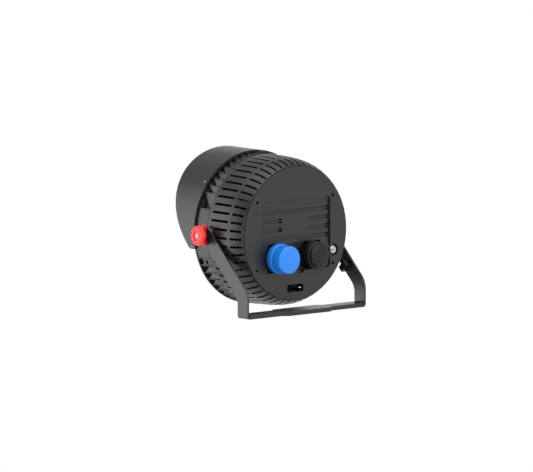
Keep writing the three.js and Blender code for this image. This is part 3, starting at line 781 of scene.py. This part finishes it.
def shadeCutter():
    # everything below and in front of the raked front edge, seen from the side
    look = shadeLook
    rise = (look["radius"] - look["bottom"]) / look["rakeSteps"]
    heights = [look["bottom"] + rise * step for step in range(look["rakeSteps"] + 1)]
    rake = [(shadeRake(z), z, 0) for z in heights]
    # the lowest points give way to one rounded corner
    rake[:4] = [rake[0][:2] + (look["corner"],)]
    past, above, behind = look["front"] + look["past"], look["radius"] + 1, look["back"] - 5
    outline = [(behind, look["bottom"], 0)] + rake + [
        (look["front"], above, 0), (past, above, 0), (past, look["below"], 0), (behind, look["below"], 0)]
    halfWidth = 120
    place = Matrix.Translation(headOrigin - Vector((halfWidth * mm, 0, 0))) @ sideways
    return prism(outline, 2 * halfWidth, place, 10)


def makeShade():
    look = shadeLook
    inner, outer = look["radius"] - look["sheet"], look["radius"]
    back, front = look["back"], look["front"]
    tube = turned([(inner, back), (outer, back), (outer, front), (inner, front), (inner, back)], forward, 256)
    shade = carve(tube, [shadeCutter()])
    centre = head(0, look["screwY"], 0)
    holes = [rod(1.8, centre + outward(angle) * 95 * mm, centre + outward(angle) * 110 * mm, 20)
             for angle in look["screws"]]
    shade = carve(shade, holes)
    addPiece("glareShade", shade, "head", paint["shade"], ["shade"], bevel=0.3)


def screwHead(place, radius, height, recess):
    # low domed head with a cross recess, sitting on local Z = 0
    dome = [(0, 0), (radius, 0), (radius, 0.25 * height), (0.93 * radius, 0.55 * height),
            (0.72 * radius, 0.85 * height), (0.4 * radius, 0.98 * height), (0, height)]
    body = turned(dome, place, 40)
    wide = recess * 0.22
    bar = [(-recess, -wide, 0), (recess, -wide, 0), (recess, wide, 0), (-recess, wide, 0)]
    raised = Matrix.Translation((0, 0, height * 0.45 * mm))
    for degrees in (0, 90):
        quarter = Matrix.Rotation(math.radians(degrees), 4, "Z")
        body = carve(body, [prism(bar, height, place @ quarter @ raised)])
    return body


def makeShadeScrews():
    look = shadeLook
    for number, degrees in enumerate(look["screws"], 1):
        out = outward(degrees)
        seat = head(0, look["screwY"], 0) + out * (look["radius"] + 0.1) * mm
        shank = rod(1.2, seat - out * 5 * mm, seat + out * 0.3 * mm, 16)
        screw = together([screwHead(aim(seat, out), 1.3, 0.8, 0.8), shank])
        addPiece(f"shadeScrew_{number}", screw, "head", brightSteel,
                 [f"shade_screw_{number}"], bevel=0.08)


makeFrontRing()
makeShade()
makeShadeScrews()
print("front ring and shade ready")


# ---- rear cover

coverLook = {
    "radius": 90.0, "thick": 5.5, "pocket": (-62, 62, -51, 46), "pocketCorner": 6, "pocketDepth": 2.8,
    "recessHalf": 46.5, "recessTop": -12.6, "recessDepth": 8.0, "back": 10.5, "wellHalf": 57, "wellLip": 2.4,
    "ports": ((-30.6, -31.9, 19.5), (30.6, -31.6, 19.3)), "portHole": 14, "screwHole": 2.2,
    "bolt": (67.3, -27.7, 8.4), "boltHole": 2.6, "slot": (14.4, -74.0, 5.3), "notch": (5.3, 15.1, -54.6),
}
grooveLook = {
    # height of each pair, and whether it is split in the middle
    "pairs": ((30.0, False), (17.85, True), (5.8, True), (-6.2, False)), "apart": 1.7, "whole": ((-58, 60),),
    "split": ((-58, -22), (22, 60)), "half": 1.0, "deep": 1.9, "endHalf": 1.15, "endLong": 4,
}


def slab(x0, x1, z0, z1, y0, y1, corner=0.0):
    # rounded rectangle in the cover's plane, from depth y0 to y1
    corners = [(x0, -z1, corner), (x1, -z1, corner), (x1, -z0, corner), (x0, -z0, corner)]
    return prism(corners, y1 - y0, forward @ Matrix.Translation((0, 0, y0 * mm)))


def coverBlank():
    # the disc with a raised well behind it, and the pocket and the connector recess sunk in its face
    look = coverLook
    radius, thick = look["radius"], look["thick"]
    x0, x1, z0, z1 = look["pocket"]
    disc = turned([(0, 0), (radius, 0), (radius, thick), (0, thick)], forward, 192)
    half, lip = look["wellHalf"], look["wellLip"]
    well = slab(-half, half, z0 - lip, look["recessTop"] + lip, thick - 1, look["back"])
    pocket = slab(x0, x1, z0, z1, -1, look["pocketDepth"], look["pocketCorner"])
    recess = slab(-look["recessHalf"], look["recessHalf"], z0, look["recessTop"], 1, look["recessDepth"], 3)
    return carve(carve(carve(disc, [well], "UNION"), [pocket]), [recess])


def coverCuts():
    # connector seats, the bolt's well, screw holes, the safety slot, the notch and a pin hole
    look = coverLook
    cuts = [rod(radius, head(x, 1, z), head(x, look["recessDepth"], z), 64) for x, z, radius in look["ports"]]
    boltX, boltZ, boltWell = look["bolt"]
    cuts.append(rod(boltWell, head(boltX, -1, boltZ), head(boltX, 3.4, boltZ), 48))
    for x, z in coverScrewPlaces():
        cuts.append(rod(look["screwHole"], head(x, -1, z), head(x, 9, z), 24))
    half, z, high = look["slot"]
    cuts.append(slab(-half, half, z - high, z + high, -1, 9, 2.6))
    left, right, bottom = look["notch"]
    cuts.append(slab(left, right, bottom, look["pocket"][2] + 1.5, -1, 4.0, 0.8))
    cuts.append(rod(1.2, head(-54, 1, -46.8), head(-54, 4.6, -46.8), 20))
    return cuts


def grooveCuts():
    # paired grooves, and the open pocket at each one's right end
    look = grooveLook
    floor, through = coverLook["pocketDepth"], coverLook["thick"] + 0.5
    half, endHalf = look["half"], look["endHalf"]
    grooves, ends = [], []
    for middle, split in look["pairs"]:
        for z in (middle - look["apart"], middle + look["apart"]):
            for left, right in look["split" if split else "whole"]:
                stop = right - look["endLong"]
                grooves.append(slab(left, stop, z - half, z + half, floor - 0.5, floor + look["deep"]))
                ends.append(slab(stop - 0.1, right + 0.9, z - endHalf, z + endHalf, floor - 0.5, through))
    return grooves, ends


def makeCover():
    look = coverLook
    cover = carve(coverBlank(), coverCuts())
    for cutters in grooveCuts():
        cover = carve(cover, cutters)
    boltX, boltZ, _ = look["bolt"]
    holes = [rod(look["portHole"], head(x, 2, z), head(x, 20, z), 48) for x, z, _ in look["ports"]]
    holes.append(rod(look["boltHole"], head(boltX, 1, boltZ), head(boltX, 12, boltZ), 24))
    addPiece("rearCover", carve(cover, holes), "head", paint["cover"], ["rear_cover"],
             bevel=0.3)


def makeCoverScrews():
    for number, (x, z) in enumerate(coverScrewPlaces(), 1):
        screw = together([screwHead(aim(head(x, 4.0, z), (0, -1, 0)), 1.7, 1.6, 1.0),
                          rod(1.2, head(x, 3.9, z), head(x, 16, z), 16)])
        addPiece(f"coverScrew_{number}", screw, "head", darkSteel, [f"cover_screw_{number}"],
                 bevel=0.06)


def makeVentBolt():
    x, z, _ = coverLook["bolt"]
    profile = [(0, -1.4), (2.1, -1.4), (2.1, -0.1), (2.7, 0.1), (3.5, 0.1), (4.1, -0.2), (4.6, -0.2),
               (5.1, 0.2), (5.5, 0.9), (5.5, 3.0), (2.3, 3.0), (2.3, 12), (0, 12)]
    bm = turned(profile, aim(head(x, 0, z), (0, 1, 0)), 64)
    hexagon = rod(1.4, head(x, -3, z), head(x, -0.6, z), 6)
    addPiece("ventBolt", carve(bm, [hexagon]), "head", brightSteel, ["vent_bolt"], bevel=0.1)


makeCover()
makeCoverScrews()
makeVentBolt()
print("rear cover ready")


# ---- connectors and their caps

powerPort, dataPort = [port[:2] for port in coverLook["ports"]]


def makeSocket(name, port, collar, rim, pins, replaced):
    # a barrel on a flange with a ring of pins; the collar's radius is 0 where there is none
    x, z = port
    place = aim(head(x, 0, z), (0, 1, 0))
    barrel = [(11.5, rim), (13.7, rim), (13.7, 24), (0, 24), (0, 20), (11.5, 20), (11.5, rim)]
    flange = [(13.7, 10.7), (17, 10.7), (17, 13), (13.7, 13), (13.7, 10.7)]
    parts = [turned(barrel, place, 64), turned(flange, place, 64)]
    if collar:
        parts.append(turned([(13.6, 0.2), (collar - 0.8, 0.2), (collar, 1.0), (collar, 7.9), (13.6, 7.9),
                             (13.6, 0.2)], place, 72))
    for index in range(pins):
        angle = turn * index / pins + turn / 4
        at = head(x + 6 * math.cos(angle), 0, z + 6 * math.sin(angle))
        pin = [(0, rim + 4), (0.9, rim + 4), (1.3, rim + 5), (1.3, 20.2), (0, 20.2)]
        parts.append(turned(pin, aim(at, (0, 1, 0)), 16))
    addPiece(name, together(parts), "head", blackPlastic, [replaced], bevel=0.2)


def makePowerCap():
    # blue cap: a stepped flange with a raised bead, and a plain drum with a faint crown
    x, z = powerPort
    profile = [(14.2, -0.1), (14.2, -14), (0, -14), (0, -24.4), (16.6, -24.3), (18.0, -24.0), (18.7, -23.2),
               (18.7, -9.2), (19.1, -8.6), (19.1, -7.9), (20.0, -7.6), (20.4, -7.0), (20.4, -0.6),
               (20.0, -0.1), (14.2, -0.1)]
    bm = turned(profile, aim(head(x, 0, z), (0, 1, 0)), 128)
    addPiece("powerCap", bm, "power_cap", bluePlastic, ["power_cap"], bevel=0.25)


def makeDataCap():
    # black cap: a drum that reaches into the recess, a groove round its rim and a smaller raised face
    x, z = dataPort
    profile = [(14.2, 7.7), (14.2, -8), (0, -8), (0, -15.3), (1.3, -15.3), (1.6, -15.8), (15.0, -15.8),
               (15.8, -15.4), (16, -14.8), (16, -12.4), (16.4, -11.9), (17.9, -11.9), (18.6, -11.5),
               (18.8, -10.8), (18.8, -8.6), (18.4, -8.2), (18.4, -7.4), (18.8, -7.0), (18.8, 7.7),
               (14.2, 7.7)]
    bm = turned(profile, aim(head(x, 0, z), (0, 1, 0)), 128)
    addPiece("dataCap", bm, "data_cap", blackPlastic, ["data_cap"], bevel=0.2)


makeSocket("powerSocket", powerPort, 19, -12, 3, "power_socket")
makeSocket("dataSocket", dataPort, 0, -6, 5, "data_socket")
makePowerCap()
makeDataCap()
print("connectors ready")


# ---- yoke

yokeLook = {
    "sheet": 2.8, "barHalf": 10.35, "bend": 4.5, "padLong": 37.4, "padWide": 16.7, "chamferEnd": 44.0,
    "base": (0.0, 2.8), "doubler": (3.0, 5.9), "doublerEnd": 100.3, "padEnd": 60, "bolt": 6.5,
    "pivotHole": 4.5, "rearBend": 24.0, "frontBend": 17.0, "joinLow": 12, "joinHigh": 14,
}


def baseOutline(half):
    look = yokeLook
    long, wide, bar, end = look["padLong"], look["padWide"], look["barHalf"], look["chamferEnd"]
    quarter = [(half, -bar, 0), (half, bar, 0), (end, bar, 3), (long, wide, 2)]
    return quarter + [(-long, wide, 2), (-end, bar, 3), (-half, bar, 0), (-half, -bar, 0), (-end, -bar, 3),
                      (-long, -wide, 2), (long, -wide, 2), (end, -bar, 3)]


def yokeArms():
    # upright, then leaning forward at 45 degrees to a round end at the pivot
    look = yokeLook
    bar, sheet = look["barHalf"], look["sheet"]
    pivotY, pivotZ = pivot.y / mm, pivot.z / mm
    bendZ = pivotZ - pivotY
    step = bar * math.tan(math.radians(22.5))
    diagonal = bar * math.sqrt(0.5)
    roundEnd = bar * 0.995
    arm = [(-bar, look["joinLow"], 0), (bar, look["joinLow"], 0), (bar, bendZ - step, look["frontBend"]),
           (pivotY + 2 * diagonal, pivotZ, roundEnd), (pivotY, pivotZ + 2 * diagonal, roundEnd),
           (-bar, bendZ + step, look["rearBend"])]
    return [prism(arm, sheet, Matrix.Translation((x * mm, 0, 0)) @ sideways, 16)
            for x in (yokeHalf - sheet, -yokeHalf)]


def yokeChannel():
    # the base and its two upturned ends, seen from the front
    look = yokeLook
    half, bar, join = yokeHalf, look["barHalf"], look["joinHigh"]
    bottom, top = look["base"]
    inner = half - look["sheet"]
    innerBend = look["bend"] - look["sheet"]
    channel = [(-half, bottom, look["bend"]), (half, bottom, look["bend"]), (half, join, 0), (inner, join, 0),
               (inner, top, innerBend), (-inner, top, innerBend), (-inner, join, 0), (-half, join, 0)]
    upright = Matrix(((1, 0, 0, 0), (0, 0, -1, 0), (0, 1, 0, 0), (0, 0, 0, 1)))
    return prism(channel, 2 * bar, Matrix.Translation((0, bar * mm, 0)) @ upright, 8)


def makeBracket():
    look = yokeLook
    bottom, top = look["base"]
    pad = prism(baseOutline(look["padEnd"]), top - bottom, Matrix.Translation((0, 0, bottom * mm)), 4)
    bracket = carve(yokeChannel(), [pad], "UNION")
    bracket = carve(bracket, yokeArms(), "UNION")
    holes = [rod(look["bolt"], (0, 0, -0.002), (0, 0, 0.009), 48),
             rod(look["pivotHole"], (-0.12, pivot.y, pivot.z), (0.12, pivot.y, pivot.z), 32)]
    bracket = carve(bracket, holes)
    bmesh.ops.dissolve_limit(bracket, angle_limit=math.radians(0.5), verts=bracket.verts, edges=bracket.edges)
    addPiece("yokeBracket", bracket, "yoke", paint["yoke"], ["yoke_bracket"], bevel=0.4)


def makeDoubler():
    look = yokeLook
    low, high = look["doubler"]
    plate = prism(baseOutline(look["doublerEnd"]), high - low, Matrix.Translation((0, 0, low * mm)), 4)
    plate = carve(plate, [rod(look["bolt"], (0, 0, 0.001), (0, 0, 0.009), 48)])
    addPiece("yokeBasePlate", plate, "yoke", paint["yoke"], ["yoke_base_plate"], bevel=0.35)


makeBracket()
makeDoubler()
print("yoke ready")


# ---- tilt knobs

knobLook = {
    "length": 15.6, "radius": 13.5, "dimples": 12, "dimpleRing": 10.4, "dimpleRadius": 1.5,
    "dimpleRaise": 0.1, "lobeReach": 10.7, "lobeRadius": 3.1, "gripNear": 0.3, "gripFar": 4.8, "bore": 4.2,
}


def knobDisc(place):
    look = knobLook
    tip, radius, bore = look["length"], look["radius"], look["bore"]
    profile = [(bore, 5.4), (8.2, 5.4), (8.2, tip - 5.2), (12.4, tip - 5.2), (13.2, tip - 4.6),
               (radius, tip - 3.8), (radius, tip - 2.0), (13.1, tip - 0.9), (12.3, tip - 0.25), (11.4, tip),
               (7.5, tip), (7.1, tip - 0.3), (6.7, tip - 1.4), (0, tip - 1.4), (0, 9.2), (bore, 9.2),
               (bore, 5.4)]
    dimples = []
    for index in range(look["dimples"]):
        angle = turn * (index + 0.5) / look["dimples"]
        across = Vector((math.cos(angle), math.sin(angle), 0)) * look["dimpleRing"] * mm
        ball = bmesh.new()
        bmesh.ops.create_uvsphere(ball, u_segments=16, v_segments=10, radius=look["dimpleRadius"] * mm)
        bmesh.ops.translate(ball, verts=ball.verts,
                            vec=place @ (across + Vector((0, 0, (tip + look["dimpleRaise"]) * mm))))
        dimples.append(ball)
    return carve(turned(profile, place, 96), dimples)


def knobGrip(arm, side):
    # an upright bar with round ends next to the arm
    look = knobLook
    radius, reach = look["lobeRadius"] * mm, look["lobeReach"] * mm
    near, far = [Vector((side * look[end] * mm, 0, 0)) for end in ("gripNear", "gripFar")]
    left, right = sorted((arm.x + near.x, arm.x + far.x))
    grip = box((left, arm.y - radius, arm.z - reach), (right, arm.y + radius, arm.z + reach))
    for up in (-reach, reach):
        lobe = rod(look["lobeRadius"], arm + near + Vector((0, 0, up)), arm + far + Vector((0, 0, up)), 28)
        grip = carve(grip, [lobe], "UNION")
    return carve(grip, [rod(look["bore"], arm, arm + Vector((side * 9 * mm, 0, 0)), 32)])


def makeKnob(name, side):
    arm = Vector((side * yokeHalf * mm, pivot.y, pivot.z))
    place = aim(arm, (side, 0, 0))
    body = "knob_" + name
    addPiece("tiltKnob_" + name, together([knobDisc(place), knobGrip(arm, side)]), body,
             redPlastic, ["tilt_knob_" + name], bevel=0.2)
    # black collar under the red disc: a dark part that stands in for the shadowed gap between disc and arm,
    # painted shade
    collar = turned([(4.1, 0.3), (8.6, 0.3), (8.6, 5.3), (4.1, 5.3), (4.1, 0.3)], place, 64)
    addPiece("knobShadowCollar_" + name, collar, body, blackPlastic, bevel=0.15)
    seat = arm + Vector((side * (knobLook["length"] - 1.3) * mm, 0, 0))
    screw = screwHead(aim(seat, (side, 0, 0)), 3.1, 1.4, 1.7)
    addPiece("knobScrew_" + name, screw, body, brightSteel, ["knob_screw_" + name], bevel=0.1)


for name, side in (("left", -1), ("right", 1)):
    makeKnob(name, side)
print("knobs ready")


# ---- pieces that keep their shape and take a finish

carriedOver = {
    "rear_gasket": sealRubber, "glass_gasket": sealRubber, "front_glass": frontGlass,
    # the driver tray takes dark steel so that what shows through the slots reads black: painted shade inside
    # the housing
    "lens_plate": lensPlastic, "led_board": plainAluminium, "driver_tray": darkSteel,
    "driver_board": solderMask, "fan_frame": blackPlastic, "fan_rotor": blackPlastic,
    "stop_block": blackPlastic, "stop_screw": brightSteel,
    "pivot_boss_left": darkSteel, "pivot_boss_right": darkSteel, "tilt_washer_left": nylon,
    "tilt_washer_right": nylon, "knob_stud_left": brightSteel, "knob_stud_right": brightSteel,
}
for index in range(1, 5):
    carriedOver[f"board_spacer_{index}"] = nylon
    carriedOver[f"fan_screw_{index}"] = brightSteel
for name, material in carriedOver.items():
    node = frame["nodes"][name]
    node.data.materials.clear()
    node.data.materials.append(material)
print("carried-over pieces finished")
